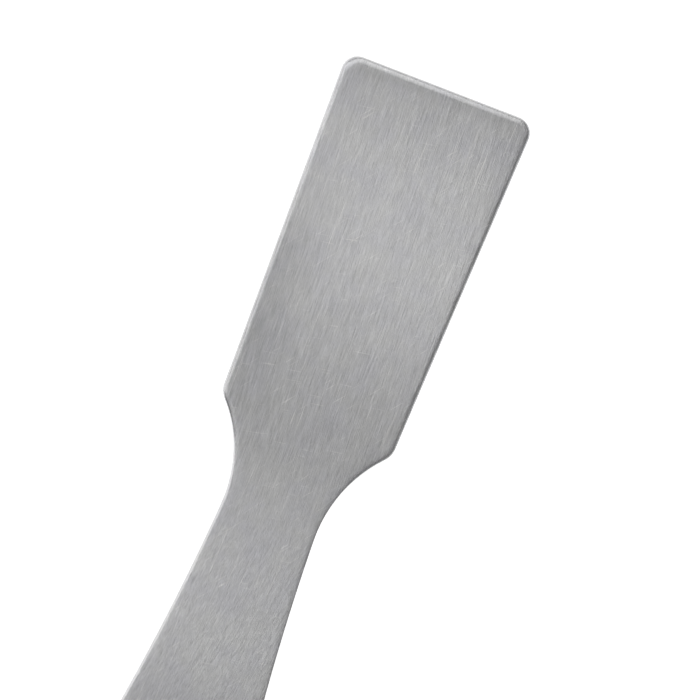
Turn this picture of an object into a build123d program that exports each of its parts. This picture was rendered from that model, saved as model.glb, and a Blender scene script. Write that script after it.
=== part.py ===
from build123d import *

import os
from math import sqrt

# A flat, double-ended metal spudger: one plate of stainless steel, cut to its outline, rounded along every edge
# and ground thin at its narrow end. It lies flat on the plane Z = 0, with its length along Y: the tip edge of
# its wide blade is towards +Y and its narrow tongue towards -Y. All sizes are in millimetres.

# The plate
plate_thickness = 1.5
edge_radius = 0.35

# The wide blade, from its tip edge to the narrowest place of the neck
blade_reach = 45.9
blade_tip_width = 20.0
blade_corner_radius = 1.65
blade_taper = 1.4  # degrees, by which each side leans in from the tip edge to the shoulder
shoulder_radius = 2.2
neck_width = 9.8
neck_radius = 13.6

# The handle, from the neck to its widest place, and on to the root of the tongue
flank_reach = 42.4
flank_radius = 248.0
handle_width = 17.5
crown_radius = 100.0
tail_reach = 50.0

# The narrow tongue, whose two faces curve towards each other over its last stretch
tongue_length = 31.7
tongue_width = 8.0
tongue_corner_radius = 2.8
tongue_grind_length = 18.0
tongue_tip_thickness = 0.8

# Places along Y. The origin is halfway along the tool
overall_length = blade_reach + flank_reach + tail_reach + tongue_length
blade_tip_y = overall_length / 2
neck_y = blade_tip_y - blade_reach
crown_y = neck_y - flank_reach
tongue_root_y = crown_y - tail_reach
tongue_tip_y = tongue_root_y - tongue_length
grind_start_y = tongue_tip_y + tongue_grind_length


def toward(start, target, distance):
    """The point at this distance from start, on the line to target."""
    return start + (target - start).normalized() * distance


def right_of_both(centre_a, reach_a, centre_b, reach_b):
    """The point that is reach_a from centre_a and reach_b from centre_b, to the right on the way from a to b."""
    apart = centre_b - centre_a
    along = (reach_a**2 - reach_b**2 + apart.length**2) / (2 * apart.length)
    ahead = apart.normalized()
    return centre_a + ahead * along + ahead.rotate(Axis.Z, -90) * sqrt(reach_a**2 - along**2)


def shoulder_corner(neck_centre):
    """Where the blade's straight side meets the arc of the neck, before that corner is rounded."""
    tip_corner = Vector(blade_tip_width / 2, blade_tip_y)
    down_the_side = Vector(0, -1).rotate(Axis.Z, -blade_taper)
    to_centre = neck_centre - tip_corner
    abreast = to_centre.dot(down_the_side)
    half_chord = sqrt(neck_radius**2 - to_centre.length**2 + abreast**2)
    return tip_corner + down_the_side * (abreast - half_chord)


def tail_flank_radius(crown_centre):
    """The radius of the arc that leaves the handle's crown and runs into the side of the tongue."""
    inset = handle_width / 2 - tongue_width / 2
    across = crown_radius - inset
    along = crown_centre.Y - tongue_root_y
    return (across**2 + along**2 - crown_radius**2) / (2 * inset)


def right_edge():
    """The right-hand edge of the tool, from the middle of one end to the middle of the other."""
    neck_centre = Vector(neck_width / 2 + neck_radius, neck_y)
    crown_centre = Vector(handle_width / 2 - crown_radius, crown_y)
    flank_centre = right_of_both(
        crown_centre, crown_radius + flank_radius, neck_centre, flank_radius - neck_radius
    )
    tail_radius = tail_flank_radius(crown_centre)
    tail_centre = Vector(tongue_width / 2 + tail_radius, tongue_root_y)

    tip_corner = Vector(blade_tip_width / 2, blade_tip_y)
    shoulder = shoulder_corner(neck_centre)
    neck_end = toward(flank_centre, neck_centre, flank_radius)
    crown_start = toward(flank_centre, crown_centre, flank_radius)
    crown_end = toward(tail_centre, crown_centre, tail_radius)
    tongue_root = Vector(tongue_width / 2, tongue_root_y)
    tongue_corner = Vector(tongue_width / 2, tongue_tip_y)
    return Curve() + [
        Line((0, blade_tip_y), tip_corner),
        Line(tip_corner, shoulder),
        RadiusArc(shoulder, neck_end, -neck_radius),
        RadiusArc(neck_end, crown_start, -flank_radius),
        RadiusArc(crown_start, crown_end, crown_radius),
        RadiusArc(crown_end, tongue_root, -tail_radius),
        Line(tongue_root, tongue_corner),
        Line(tongue_corner, (0, tongue_tip_y)),
    ]


def outline():
    """The outline of the plate, with its corners rounded in pairs."""
    edge = right_edge()
    blank = make_face(edge + mirror(edge, about=Plane.YZ))
    blank = fillet(blank.vertices().group_by(Axis.Y)[-2], shoulder_radius)
    blank = fillet(blank.vertices().group_by(Axis.Y)[-1], blade_corner_radius)
    return fillet(blank.vertices().group_by(Axis.Y)[0], tongue_corner_radius)


def side_profile():
    """The plate seen from its side: flat faces that curve towards each other over the end of the tongue."""
    grind_depth = (plate_thickness - tongue_tip_thickness) / 2
    lower_tip = (tongue_tip_y, grind_depth)
    upper_tip = (tongue_tip_y, plate_thickness - grind_depth)
    lower_start = (grind_start_y, 0)
    upper_start = (grind_start_y, plate_thickness)
    edge = Curve() + [
        Line((blade_tip_y, 0), lower_start),
        TangentArc(lower_start, lower_tip, tangent=(-1, 0)),
        Line(lower_tip, upper_tip),
        TangentArc(upper_start, upper_tip, tangent=(-1, 0)),
        Line(upper_start, (blade_tip_y, plate_thickness)),
        Line((blade_tip_y, plate_thickness), (blade_tip_y, 0)),
    ]
    return Plane.YZ * make_face(edge)


def spudger_body():
    """The whole tool, which is a single piece."""
    widest = max(blade_tip_width, handle_width)
    plate = extrude(outline(), plate_thickness) & extrude(side_profile(), widest, both=True)
    creases = plate.edges().filter_by(Axis.X).filter_by_position(Axis.Y, grind_start_y, grind_start_y)
    rims = plate.edges().filter_by(Axis.Z, reverse=True) - creases
    return fillet(rims, min(edge_radius, 0.45 * tongue_tip_thickness))


os.makedirs("parts", exist_ok=True)
export_step(spudger_body(), "parts/spudger_body.step")
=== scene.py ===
import math

import bmesh
import bpy
from mathutils import Matrix, Quaternion, Vector
from mathutils.geometry import intersect_line_sphere_2d, intersect_sphere_sphere_2d


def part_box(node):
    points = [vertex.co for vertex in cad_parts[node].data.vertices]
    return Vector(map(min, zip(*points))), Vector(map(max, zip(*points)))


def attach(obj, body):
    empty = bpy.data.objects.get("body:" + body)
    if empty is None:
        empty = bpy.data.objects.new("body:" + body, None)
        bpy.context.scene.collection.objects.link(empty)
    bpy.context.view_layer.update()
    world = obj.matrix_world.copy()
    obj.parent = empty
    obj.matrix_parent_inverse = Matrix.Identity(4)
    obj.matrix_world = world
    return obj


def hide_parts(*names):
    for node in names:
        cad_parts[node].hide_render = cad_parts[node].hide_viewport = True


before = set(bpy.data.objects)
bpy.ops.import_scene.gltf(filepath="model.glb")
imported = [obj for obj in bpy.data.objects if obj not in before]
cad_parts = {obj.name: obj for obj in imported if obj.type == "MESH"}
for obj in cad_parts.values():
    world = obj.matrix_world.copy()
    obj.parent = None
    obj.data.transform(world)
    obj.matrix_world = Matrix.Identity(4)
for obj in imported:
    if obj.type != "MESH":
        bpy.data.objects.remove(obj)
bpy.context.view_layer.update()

mm = 0.001
tiny = 0.001 * mm         # closer than this, two points are one
lowCorner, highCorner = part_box("spudger_body")
midHeight = (lowCorner.z + highCorner.z) / 2
halfThickness = (highCorner.z - lowCorner.z) / 2
bladeTipY = highCorner.y
tongueTipY = lowCorner.y
print("frame loaded:", len(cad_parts), "CAD node")


def finished(bm, name):
    mesh = bpy.data.meshes.new(name)
    bm.to_mesh(mesh)
    bm.free()
    piece = bpy.data.objects.new(name, mesh)
    bpy.context.scene.collection.objects.link(piece)
    return piece


def linearColor(hexColor):   # sRGB hex to the linear values that a socket takes
    parts = [int(hexColor[i:i + 2], 16) / 255 for i in (1, 3, 5)]
    return [p / 12.92 if p <= 0.04045 else ((p + 0.055) / 1.055) ** 2.4 for p in parts] + [1.0]


def addNode(tree, kind, settings=None, links=None, output=0):
    node = tree.nodes.new(kind)
    for name, value in (settings or {}).items():   # an input by its name or number, or else a property
        if isinstance(name, int) or name in node.inputs:
            node.inputs[name].default_value = value
        else:
            setattr(node, name, value)
    for name, socket in (links or {}).items():
        tree.links.new(socket, node.inputs[name])
    return node.outputs[output] if node.outputs else None


view = {
    "aim": Vector((1.27 * mm, bladeTipY - 27.63 * mm, midHeight)),
    "leanLeft": 9.15,       # degrees the eye stands to the left of straight above
    "leanToTip": 6.3,       # and towards the blade's tip
    "roll": 21.86,          # the tool leans this far to the right
    "distance": 1.0,
    "widthSeen": 69.38 * mm,
    "sensorWidth": 36,
}


def addCamera():
    back = Vector((-math.sin(math.radians(view["leanLeft"])), math.sin(math.radians(view["leanToTip"])), 0))
    back.z = math.sqrt(1 - back.length_squared)
    alongTool = (Vector((0, 1, 0)) - back * back.y).normalized()
    acrossTool = alongTool.cross(back)
    roll = math.radians(view["roll"])
    up = alongTool * math.cos(roll) - acrossTool * math.sin(roll)
    data = bpy.data.cameras.new("camera")
    data.sensor_width = view["sensorWidth"]
    data.lens = view["sensorWidth"] * view["distance"] / view["widthSeen"]
    camera = bpy.data.objects.new("camera", data)
    turned = Matrix((up.cross(back), up, back)).transposed().to_4x4()
    camera.matrix_world = Matrix.Translation(view["aim"] + back * view["distance"]) @ turned
    bpy.context.scene.collection.objects.link(camera)
    bpy.context.scene.camera = camera


addCamera()
print("camera placed")

# The tool is one plate of steel, so this is its only piece
plate = {
    "bladeTipWidth": 20.0 * mm,
    "bladeCornerRadius": 1.65 * mm,
    "bladeTaper": 1.4,              # degrees each side leans in
    "bladeReach": 45.9 * mm,
    "shoulderRadius": 2.2 * mm,
    "neckWidth": 9.8 * mm,
    "neckRadius": 13.6 * mm,
    "flankReach": 42.4 * mm,
    "flankRadius": 248.0 * mm,
    "handleWidth": 17.5 * mm,
    "crownRadius": 100.0 * mm,
    "tailReach": 50.0 * mm,
    "tongueWidth": 8.0 * mm,
    "tongueCornerRadius": 2.8 * mm,
    "grindLength": 18.0 * mm,
    "tongueTipThickness": 0.8 * mm,
    "edgeRound": 0.64 * mm,         # tumbling rounds the edge further across the face than down the wall
    "edgeDrop": 0.35 * mm,
    "edgeSteps": 10,
    "tumbledWidth": 1.00 * mm,      # the faces roll off this far in from the rounding
    "tumbledDrop": 0.020 * mm,
    "tumbledSteps": 8,
    "handleEdge": 0.22,             # the handle's edges are turned down only this much as far as the blade's
    "handleEdgeFrom": (52 * mm, 42 * mm),
    "wornTipWidth": 2.0 * mm,       # the blade's end is worn down this far in from its tip
    "wornTipDrop": 0.006 * mm,
    "wornTipCurve": 2,
    "wornCornerDrop": 0.25 * mm,    # and its two corners more than the rest
    "wornCornerCurve": 1.5,
    "rimTilt": 0.2,                 # how far a surface has turned down where it counts as the edge
    "longestStep": 1.0 * mm,        # of the outline's arcs
    "widestTurn": 4.0,              # degrees
    "leastLean": 1e-4,              # a surface that leans less than this is flat
    "crossCut": 2.0 * mm,
    "crossCutAtGrind": 0.6 * mm,
}


def outlineStretches():   # the right-hand edge from the blade's tip down, as (arc centre or None, end point)
    p = plate
    taper = math.radians(p["bladeTaper"])
    neckY = bladeTipY - p["bladeReach"]
    crownY = neckY - p["flankReach"]
    tongueRootY = crownY - p["tailReach"]

    neckCentre = Vector((p["neckWidth"] / 2 + p["neckRadius"], neckY))
    crownCentre = Vector((p["handleWidth"] / 2 - p["crownRadius"], crownY))
    flankCentre = max(
        intersect_sphere_sphere_2d(
            crownCentre, p["crownRadius"] + p["flankRadius"], neckCentre, p["flankRadius"] - p["neckRadius"]),
        key=lambda centre: centre.x)
    inset = (p["handleWidth"] - p["tongueWidth"]) / 2
    tailRadius = (inset ** 2 + p["tailReach"] ** 2) / (2 * inset) - p["crownRadius"]
    tailCentre = Vector((p["tongueWidth"] / 2 + tailRadius, tongueRootY))

    tipCorner = Vector((p["bladeTipWidth"] / 2, bladeTipY))
    downSide = Vector((-math.sin(taper), -math.cos(taper)))
    outward = Vector((-downSide.y, downSide.x))
    setback = p["bladeCornerRadius"] * math.tan((math.pi / 2 + taper) / 2)
    tipCornerStart = tipCorner - Vector((setback, 0))
    tipCornerCentre = tipCornerStart - Vector((0, p["bladeCornerRadius"]))
    insideSide = tipCorner - outward * p["shoulderRadius"]
    shoulderCentre = max(
        intersect_line_sphere_2d(
            insideSide, insideSide + downSide, neckCentre, p["neckRadius"] + p["shoulderRadius"], False),
        key=lambda centre: centre.y)
    tongueCorner = Vector((p["tongueWidth"] / 2, tongueTipY))
    corner = p["tongueCornerRadius"]

    def meetingPoint(centre, other, radius):   # where two tangent arcs run into each other
        return centre + (other - centre).normalized() * radius

    return [
        (None, tipCornerStart),
        (tipCornerCentre, tipCorner + downSide * setback),
        (None, shoulderCentre + outward * p["shoulderRadius"]),
        (shoulderCentre, meetingPoint(neckCentre, shoulderCentre, p["neckRadius"])),
        (neckCentre, meetingPoint(flankCentre, neckCentre, p["flankRadius"])),
        (flankCentre, meetingPoint(flankCentre, crownCentre, p["flankRadius"])),
        (crownCentre, meetingPoint(tailCentre, crownCentre, tailRadius)),
        (tailCentre, Vector((p["tongueWidth"] / 2, tongueRootY))),
        (None, tongueCorner + Vector((0, corner))),
        (tongueCorner + Vector((-corner, corner)), tongueCorner - Vector((corner, 0))),
        (None, Vector((0, tongueTipY))),
    ]


def madeVerts(geom):
    return [item for item in geom if isinstance(item, bmesh.types.BMVert)]


def traceOutline(bm):
    pen = bm.verts.new((0, bladeTipY, midHeight))
    for centre, end in outlineStretches():
        here = pen.co.to_2d()
        if centre is None:
            made = bmesh.ops.extrude_vert_indiv(bm, verts=[pen])["verts"]
            bmesh.ops.translate(bm, verts=made, vec=(end - here).to_3d())
            pen = made[0]
            continue
        turn = (here - centre).angle_signed(end - centre)   # clockwise is positive
        length = abs(turn) * (here - centre).length
        steps = math.ceil(max(abs(turn) / math.radians(plate["widestTurn"]), length / plate["longestStep"]))
        pivot = centre.to_3d() + Vector((0, 0, midHeight))
        turned = bmesh.ops.spin(bm, geom=[pen], cent=pivot, axis=(0, 0, -1), angle=turn, steps=steps)
        pen = madeVerts(turned["geom_last"])[0]
    bmesh.ops.mirror(bm, geom=bm.verts[:] + bm.edges[:], axis="X", merge_dist=tiny)
    bmesh.ops.remove_doubles(bm, verts=bm.verts[:], dist=tiny)


def insetFace(bm, face, inward, upward):
    bmesh.ops.inset_region(bm, faces=[face], thickness=inward, depth=upward,
                           use_boundary=True, use_even_offset=True)


def riseToFace(bm, face):   # wall, rounding and tumbled margin, ring by ring
    p = plate
    insetFace(bm, face, 0, halfThickness - p["edgeDrop"])
    steps = p["edgeSteps"]
    angles = [math.pi / 2 * step / steps for step in range(steps + 1)]
    for low, high in zip(angles, angles[1:]):
        insetFace(bm, face, p["edgeRound"] * (math.cos(low) - math.cos(high)),
                  (p["edgeDrop"] - p["tumbledDrop"]) * (math.sin(high) - math.sin(low)))
    steps = p["tumbledSteps"]
    left = [(1 - step / steps) ** 2 for step in range(steps + 1)]
    for low, high in zip(left, left[1:]):
        insetFace(bm, face, p["tumbledWidth"] / steps, p["tumbledDrop"] * (low - high))


def cutAcross(bm, y):
    bmesh.ops.bisect_plane(bm, geom=bm.verts[:] + bm.edges[:] + bm.faces[:], dist=tiny,
                           plane_co=(0, y, 0), plane_no=(0, 1, 0))


def grindDepth(y):   # how far each face has come down here, along an arc that leaves the flat face smoothly
    p = plate
    depthAtTip = halfThickness - p["tongueTipThickness"] / 2
    radius = (p["grindLength"] ** 2 + depthAtTip ** 2) / (2 * depthAtTip)
    along = max(0, tongueTipY + p["grindLength"] - y)
    return radius - math.sqrt(radius ** 2 - along ** 2)


def wear(x, y):   # how far use has worn each face down near the blade's tip and corners
    p = plate
    towardTip = max(0, 1 - (bladeTipY - y) / p["wornTipWidth"])
    towardSide = max(0, 1 - (p["bladeTipWidth"] / 2 - abs(x)) / p["wornTipWidth"])
    atTip = p["wornTipDrop"] * towardTip ** p["wornTipCurve"]
    atCorner = p["wornCornerDrop"] * (towardTip * towardSide) ** p["wornCornerCurve"]
    return atTip + atCorner


def unrolled(vert):   # flat map of the surface, with the wall folded out from the edge
    p = plate
    outward = vert.normal.to_2d()
    if outward.length < p["leastLean"]:
        return vert.co.to_2d()
    down = halfThickness - abs(vert.co.z - midHeight)
    return vert.co.to_2d() + outward.normalized() * down


def makePlate():
    p = plate
    bm = bmesh.new()
    traceOutline(bm)
    bmesh.ops.contextual_create(bm, geom=bm.edges[:])
    face = bm.faces[:][0]
    if face.normal.z < 0:
        bmesh.ops.reverse_faces(bm, faces=[face])
    riseToFace(bm, face)
    y = bladeTipY - p["crossCut"]
    while y > tongueTipY + p["crossCutAtGrind"] / 2:
        cutAcross(bm, y)
        y -= p["crossCut"] if y > tongueTipY + p["grindLength"] else p["crossCutAtGrind"]
    for vert in bm.verts:
        if vert.co.z > midHeight + tiny:
            start, end = p["handleEdgeFrom"]
            onHandle = min(1, max(0, (start - vert.co.y) / (start - end)))
            vert.co.z += (highCorner.z - vert.co.z) * (1 - p["handleEdge"]) * onHandle
            share = (vert.co.z - midHeight) / halfThickness
            vert.co.z -= grindDepth(vert.co.y) + wear(vert.co.x, vert.co.y) * share
    bmesh.ops.mirror(bm, geom=bm.verts[:] + bm.edges[:] + bm.faces[:], axis="Z",
                     matrix=Matrix.Translation((0, 0, -midHeight)), merge_dist=tiny)
    bmesh.ops.remove_doubles(bm, verts=bm.verts[:], dist=tiny)
    bmesh.ops.recalc_face_normals(bm, faces=bm.faces[:])
    bm.normal_update()
    brushing = bm.loops.layers.uv.new("brushing")
    rim = bm.verts.layers.float.new("rim")
    for vert in bm.verts:
        vert[rim] = min(1, (1 - abs(vert.normal.z)) / p["rimTilt"])
    for face in bm.faces:
        face.smooth = True
        for loop in face.loops:
            loop[brushing].uv = unrolled(loop.vert) / mm
    print("plate modelled:", len(bm.faces), "faces,", round(bm.calc_volume() / mm ** 3), "mm3")
    return finished(bm, "spudgerPlate")


spudgerPlate = makePlate()
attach(spudgerPlate, "root")
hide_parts("spudger_body")

# Brushed stainless steel: sheet drawn along a fine abrasive belt, then tumbled. It gives the eye a soft grey sheen
# made of fine broken lines along the tool, cloudier and cooler in patches, and a few bright scratches from use.
steel = {
    "colour": "#BFBFBF",
    "coolColour": "#BCBCBF",
    "scratchColour": "#DDDCDA",
    "roughness": (0.32, 0.36),          # least and most, from cloud to cloud
    "lineRoughness": 0.2,               # how much a line adds to it
    "rimRoughness": 0.18,               # tumbling leaves the edges smoother
    "anisotropy": 0.6,
    # width, length and place in the noise; the lines are drawn coarser than the grit's 0.02 mm, so that they show
    "fineLine": (0.09 * mm, 2.0 * mm, 0.0),
    "fineLineOnHandle": (0.09 * mm, 1.0 * mm, 0.01),
    "coarseLine": (0.22 * mm, 3.5 * mm, 0.02),
    "coarseLineOnHandle": (0.22 * mm, 1.8 * mm, 0.03),
    "crossLine": (0.09 * mm, 0.33 * mm, 0.05),
    "lineDetail": 3.0,
    "detailStrength": 0.6,
    "shares": (0.54, 0.20, 0.26),       # of fine, coarse and cross lines
    "noiseSpan": (0.3, 0.7),            # where nearly all of the noise lies
    "turnOnBlade": 3.0,                 # degrees, to the left of straight along the tool
    "turnOnHandle": -7.0,
    "crossTurn": 22.0,
    "lineTone": (0.67, 1.33),
    "lineDepth": 0.040 * mm,            # of the whole pattern, whose lines are a tenth as deep
    "sway": 0.4 * mm,                   # the lines wander sideways this far
    "swayLength": 11.0 * mm,
    "swayDetail": 1.0,
    "handleStarts": (47 * mm, 33 * mm),
    "cloud": 3.0 * mm,
    "cloudDetail": 4.0,
    "coolFrom": (0.35, 0.7),            # of the cloud's noise
    # width, length, turn, place in the noise, and the height above which the noise is a scratch
    "scratches": [
        (0.10 * mm, 9.0 * mm, -1.0, 0.07, 0.735),
        (0.10 * mm, 2.4 * mm, -38.0, 0.11, 0.757),
        (0.09 * mm, 2.8 * mm, -80.0, 0.13, 0.775),
    ],
    "scratchFade": 0.07,
    "scratchStrength": 0.55,
    "scratchDepth": 0.001 * mm,
    # a patch by the left shoulder, painted darker: painted shade standing in for the dimmer reflection the face
    # shows there
    "paintedShadeTone": 0.87,
    "paintedShadeAcross": (-3 * mm, -9 * mm),
    "paintedShadeBelow": (78 * mm, 62 * mm),
    "paintedShadeAbove": (46 * mm, 58 * mm),
}


def brushedStainless():
    s = steel
    material = bpy.data.materials.new("brushedStainless")
    material.use_nodes = True
    tree = material.node_tree
    shader = tree.nodes["Principled BSDF"]
    shader.inputs["Metallic"].default_value = 1
    shader.inputs["Anisotropic"].default_value = s["anisotropy"]

    place = addNode(tree, "ShaderNodeTexCoord", output="Object")
    axes = addNode(tree, "ShaderNodeSeparateXYZ", None, {0: place}).node.outputs
    wander = addNode(tree, "ShaderNodeTexNoise", {
        "Scale": 1 / s["swayLength"], "Detail": s["swayDetail"]}, {"Vector": place}, "Color")
    swing = addNode(tree, "ShaderNodeVectorMath", {
        "operation": "MULTIPLY_ADD", 1: (s["sway"],) * 3, 2: (-s["sway"] / 2,) * 3}, {0: wander})
    swayed = addNode(tree, "ShaderNodeVectorMath", {"operation": "ADD"}, {0: place, 1: swing})

    def drawnLines(line, turn, detail):   # noise drawn out along the belt's way
        width, length, shift = line
        way = addNode(tree, "ShaderNodeMapping", {
            "vector_type": "TEXTURE", "Location": (shift, 0, 0), "Rotation": (0, 0, math.radians(turn)),
            "Scale": (width, length, width)}, {"Vector": swayed})
        return addNode(tree, "ShaderNodeTexNoise", {
            "Scale": 1.0, "Detail": detail, "Roughness": s["detailStrength"]}, {"Vector": way})

    # the blade and the handle were held to the belt at different angles
    handleShare = addNode(tree, "ShaderNodeMapRange", {
        "interpolation_type": "SMOOTHSTEP", "From Min": s["handleStarts"][1], "From Max": s["handleStarts"][0],
        "To Min": 1.0, "To Max": 0.0}, {"Value": axes["Y"]})
    fine = addNode(tree, "ShaderNodeMix", {"data_type": "FLOAT"}, {
        0: handleShare, 2: drawnLines(s["fineLine"], s["turnOnBlade"], s["lineDetail"]),
        3: drawnLines(s["fineLineOnHandle"], s["turnOnHandle"], s["lineDetail"])})
    coarse = addNode(tree, "ShaderNodeMix", {"data_type": "FLOAT"}, {
        0: handleShare, 2: drawnLines(s["coarseLine"], s["turnOnBlade"], s["lineDetail"]),
        3: drawnLines(s["coarseLineOnHandle"], s["turnOnHandle"], s["lineDetail"])})
    cross = drawnLines(s["crossLine"], s["crossTurn"], s["lineDetail"])
    belt = addNode(tree, "ShaderNodeMath", {"operation": "MULTIPLY", 1: s["shares"][0]}, {0: fine})
    belt = addNode(tree, "ShaderNodeMath", {"operation": "MULTIPLY_ADD", 1: s["shares"][1]}, {0: coarse, 2: belt})
    belt = addNode(tree, "ShaderNodeMath", {"operation": "MULTIPLY_ADD", 1: s["shares"][2]}, {0: cross, 2: belt})

    cloud = addNode(tree, "ShaderNodeTexNoise", {
        "Scale": 1 / s["cloud"], "Detail": s["cloudDetail"], "Roughness": s["detailStrength"]}, {"Vector": place})
    scratched = None
    for width, length, turn, shift, height in s["scratches"]:
        scratch = addNode(tree, "ShaderNodeMapRange", {
            "interpolation_type": "SMOOTHSTEP", "From Min": height, "From Max": height + s["scratchFade"],
            "To Max": s["scratchStrength"]}, {"Value": drawnLines((width, length, shift), turn, 0.0)})
        if scratched:
            scratch = addNode(tree, "ShaderNodeMath", {"operation": "MAXIMUM"}, {0: scratched, 1: scratch})
        scratched = scratch

    # colour: clouds, then scratches, then the belt's lines, then the painted shade by the left shoulder
    lowNoise, highNoise = s["noiseSpan"]
    coolShare = addNode(tree, "ShaderNodeMapRange", {
        "interpolation_type": "SMOOTHSTEP", "From Min": s["coolFrom"][0], "From Max": s["coolFrom"][1]},
        {"Value": cloud})
    tone = addNode(tree, "ShaderNodeMix", {
        "data_type": "RGBA", 6: linearColor(s["colour"]), 7: linearColor(s["coolColour"])}, {0: coolShare}, 2)
    tone = addNode(tree, "ShaderNodeMix", {
        "data_type": "RGBA", 7: linearColor(s["scratchColour"])}, {0: scratched, 6: tone}, 2)
    lineTone = addNode(tree, "ShaderNodeMapRange", {
        "From Min": lowNoise, "From Max": highNoise, "To Min": s["lineTone"][0], "To Max": s["lineTone"][1]},
        {"Value": belt})
    tone = addNode(tree, "ShaderNodeMix", {
        "data_type": "RGBA", "blend_type": "MULTIPLY", 0: 1.0}, {6: tone, 7: lineTone}, 2)
    # painted shade: the patch by the left shoulder is darkened in the colour, in place of a dimmer reflection
    paintedShade = None
    for axis, (outside, inside) in (("X", s["paintedShadeAcross"]), ("Y", s["paintedShadeBelow"]), ("Y", s["paintedShadeAbove"])):
        limit = addNode(tree, "ShaderNodeMapRange", {
            "interpolation_type": "SMOOTHSTEP", "From Min": outside, "From Max": inside}, {"Value": axes[axis]})
        if paintedShade:
            limit = addNode(tree, "ShaderNodeMath", {"operation": "MULTIPLY"}, {0: paintedShade, 1: limit})
        paintedShade = limit
    tone = addNode(tree, "ShaderNodeMix", {
        "data_type": "RGBA", "blend_type": "MULTIPLY", 7: (s["paintedShadeTone"],) * 3 + (1.0,)},
        {0: paintedShade, 6: tone}, 2)
    tree.links.new(tone, shader.inputs["Base Color"])

    # roughness: clouds and lines on the faces, smooth on the edges
    cloudy = addNode(tree, "ShaderNodeMapRange", {
        "From Min": lowNoise, "From Max": highNoise, "To Min": s["roughness"][0], "To Max": s["roughness"][1]},
        {"Value": cloud})
    lined = addNode(tree, "ShaderNodeMapRange", {
        "To Min": -s["lineRoughness"] / 2, "To Max": s["lineRoughness"] / 2},
        {"Value": belt})
    faces = addNode(tree, "ShaderNodeMath", {"operation": "ADD"}, {0: cloudy, 1: lined})
    onRim = addNode(tree, "ShaderNodeAttribute", {"attribute_name": "rim"}, output="Fac")
    rough = addNode(tree, "ShaderNodeMix", {"data_type": "FLOAT", 3: s["rimRoughness"]}, {0: onRim, 2: faces})
    tree.links.new(rough, shader.inputs["Roughness"])

    drawn = addNode(tree, "ShaderNodeBump", {"Distance": s["lineDepth"]}, {"Height": belt})
    scored = addNode(tree, "ShaderNodeBump", {"Distance": s["scratchDepth"], "invert": True},
                     {"Height": scratched, "Normal": drawn})
    tree.links.new(scored, shader.inputs["Normal"])
    alongBelt = addNode(tree, "ShaderNodeTangent", {"direction_type": "UV_MAP", "uv_map": "brushing"})
    tree.links.new(alongBelt, shader.inputs["Tangent"])
    return material


spudgerPlate.data.materials.append(brushedStainless())
print("brushed stainless made")

# White paper: smooth and matt, so it gives the eye a plain white ground that still takes the tool's soft shadow
floorPaper = {
    "size": 20.0,
    "colour": "#BCBCBC",
    "whiteLift": 0.83,      # what the camera and the steel see of it beyond the lamps' light
}


def seenRays(tree):   # 1 for what the camera sees, straight or in metal and glass, and 0 for light on the object
    rays = addNode(tree, "ShaderNodeLightPath").node.outputs
    seen = addNode(tree, "ShaderNodeMath", {"operation": "MAXIMUM"}, {
        0: rays["Is Camera Ray"], 1: rays["Is Glossy Ray"]})
    return addNode(tree, "ShaderNodeMath", {"operation": "MAXIMUM"}, {0: seen, 1: rays["Is Transmission Ray"]})


def addFloor():
    bm = bmesh.new()
    bmesh.ops.create_grid(bm, x_segments=1, y_segments=1, size=floorPaper["size"] / 2)
    floor = finished(bm, "floor")
    material = bpy.data.materials.new("whitePaper")
    material.use_nodes = True
    tree = material.node_tree
    tree.nodes.clear()
    lift = addNode(tree, "ShaderNodeMath", {
        "operation": "MULTIPLY", 1: floorPaper["whiteLift"]}, {0: seenRays(tree)})
    paper = addNode(tree, "ShaderNodeBsdfDiffuse", {"Color": linearColor(floorPaper["colour"])})
    glow = addNode(tree, "ShaderNodeEmission", None, {"Strength": lift})
    both = addNode(tree, "ShaderNodeAddShader", None, {0: paper, 1: glow})
    addNode(tree, "ShaderNodeOutputMaterial", None, {"Surface": both})
    floor.data.materials.append(material)


# White board: a low wall all round the paper, which gives the eye the same plain white beyond the paper's end
whiteBoard = {
    "distance": 9.0,
    "height": 1.4,
    "sides": 64,
    "white": 1.0,
}


def addBackdrop():
    bm = bmesh.new()
    bmesh.ops.create_circle(bm, segments=whiteBoard["sides"], radius=whiteBoard["distance"])
    wall = bmesh.ops.extrude_edge_only(bm, edges=bm.edges[:])
    bmesh.ops.translate(bm, verts=madeVerts(wall["geom"]), vec=(0, 0, whiteBoard["height"]))
    backdrop = finished(bm, "backdrop")
    material = bpy.data.materials.new("whiteBoard")
    material.use_nodes = True
    tree = material.node_tree
    tree.nodes.clear()
    white = addNode(tree, "ShaderNodeMath", {"operation": "MULTIPLY", 1: whiteBoard["white"]}, {0: seenRays(tree)})
    glow = addNode(tree, "ShaderNodeEmission", None, {"Strength": white})
    addNode(tree, "ShaderNodeOutputMaterial", None, {"Surface": glow})
    backdrop.data.materials.append(material)


# Each lamp's place, its size in metres, its face's brightness, where 1 shows as white, and its turn in degrees
softboxes = {
    "keySoftbox": {"place": (-0.72, 0.08, 0.60), "size": (1.1, 0.8), "brightness": 0.90, "turn": 0},
    "tipSoftbox": {"place": (0.0, 0.58, 0.71), "size": (0.9, 1.0), "brightness": 0.86, "turn": 0},
    "bladeStrip": {"place": (0.013, 0.061, 0.09), "size": (0.044, 0.026), "brightness": 1.44, "turn": -37},
    "handleStrip": {"place": (0.002, 0.016, 0.09), "size": (0.036, 0.028), "brightness": 1.35, "turn": 0},
}
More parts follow.
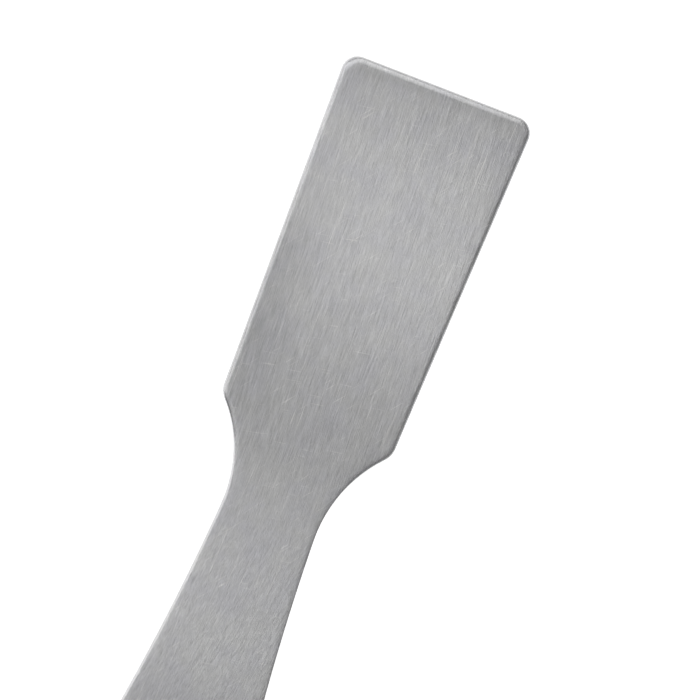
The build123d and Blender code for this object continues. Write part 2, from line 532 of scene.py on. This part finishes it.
# The tent of white cloth round the table, lit from the left and the tip's side
tent = {
    "brightSide": (-0.75, 0.55, 0.35),
    "dim": 0.22,
    "bright": 0.50,
    "dimUpTo": -0.05,       # of the way to the bright side
    "brightFrom": 0.80,
    "farLift": 0.20,        # the far side is a little brighter again
    "farFrom": -0.25,
    "farFull": -0.80,
}


def addSoftboxes():
    bladeMiddle = Vector((0, bladeTipY - plate["bladeReach"] / 2, 0))
    for name, box in softboxes.items():
        lamp = bpy.data.objects.new(name, bpy.data.lights.new(name, "AREA"))
        width, height = box["size"]
        lamp.data.shape = "RECTANGLE"
        lamp.data.size, lamp.data.size_y = width, height
        lamp.data.energy = box["brightness"] * math.pi * width * height
        lamp.location = box["place"]
        underneath = Vector((*box["place"][:2], 0))
        aim = underneath if name.endswith("Strip") else bladeMiddle   # the strips face straight down
        facing = (lamp.location - aim).to_track_quat("Z", "Y") @ Quaternion((0, 0, 1), math.radians(box["turn"]))
        lamp.rotation_euler = facing.to_euler()
        lamp.visible_camera = False
        bpy.context.scene.collection.objects.link(lamp)


def addTent():
    world = bpy.data.worlds.new("tent")
    world.use_nodes = True
    tree = world.node_tree
    direction = addNode(tree, "ShaderNodeTexCoord", output="Generated")
    side = addNode(tree, "ShaderNodeVectorMath", {
        "operation": "DOT_PRODUCT", 1: Vector(tent["brightSide"]).normalized()}, {0: direction}, "Value")
    glow = addNode(tree, "ShaderNodeMapRange", {
        "interpolation_type": "SMOOTHSTEP", "From Min": tent["dimUpTo"], "From Max": tent["brightFrom"],
        "To Min": tent["dim"], "To Max": tent["bright"]}, {"Value": side})
    far = addNode(tree, "ShaderNodeMapRange", {
        "interpolation_type": "SMOOTHSTEP", "From Min": tent["farFrom"], "From Max": tent["farFull"],
        "To Max": tent["farLift"]}, {"Value": side})
    glow = addNode(tree, "ShaderNodeMath", {"operation": "ADD"}, {0: glow, 1: far})
    background = tree.nodes["Background"].inputs
    background["Color"].default_value = (1, 1, 1, 1)
    tree.links.new(glow, background["Strength"])
    bpy.context.scene.world = world


addFloor()
addBackdrop()
addSoftboxes()
addTent()
bpy.context.scene.view_settings.view_transform = "Standard"
print("floor, backdrop, lamps and tent placed")
